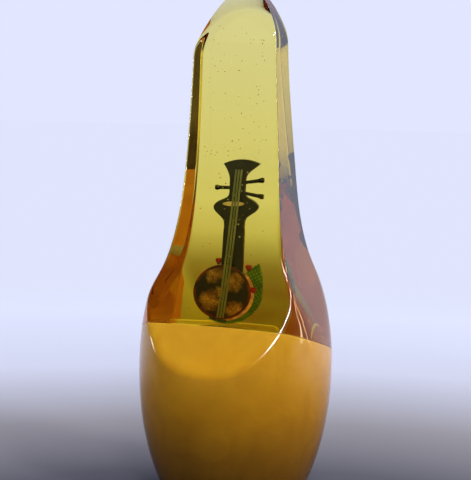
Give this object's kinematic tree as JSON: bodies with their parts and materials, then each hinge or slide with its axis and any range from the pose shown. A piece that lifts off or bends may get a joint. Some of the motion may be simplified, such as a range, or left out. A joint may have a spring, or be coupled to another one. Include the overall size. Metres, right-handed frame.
{
  "type": "finger plectrum",
  "caption": "Resin finger plectrum for a plucked lute: round cream butt with a finger bore and a clear four-faceted blade holding a flat miniature lute.",
  "frame": {"origin": "centre of the open rim at the base of the butt", "axes": "+Z along the blade towards the striking tip, -Y out of the broad front facet that the miniature lute faces, +X towards its right narrow facet"},
  "size_m": [0.028, 0.028, 0.0735],
  "materials": {
    "cream_resin": "polished",
    "clear_resin": "polished",
    "dark_lacquer": "gloss",
    "snake_skin": "satin",
    "drum_wood": "matt",
    "dark_red_lacquer": "gloss",
    "green_cloth": "woven",
    "pale_cord": "woven",
    "red_cord": "twisted",
    "pale_horn": "polished",
    "grey_string": "satin"
  },
  "bodies": {
    "root": {"finger_cup": "cream_resin", "blade_front": "clear_resin", "blade_back": "clear_resin", "lute_neck": "dark_lacquer", "peg_upper_right": "dark_lacquer", "peg_lower_right": "dark_lacquer", "peg_left": "dark_lacquer", "drum_body": "drum_wood", "drum_rim": "dark_red_lacquer", "drum_skin": "snake_skin", "side_band": "green_cloth", "band_edging": "pale_cord", "knot_left": "red_cord", "knot_right": "red_cord", "knot_lower": "red_cord", "nut": "pale_horn", "string_left": "grey_string", "string_middle": "grey_string", "string_right": "grey_string"}
  },
  "joints": []
}
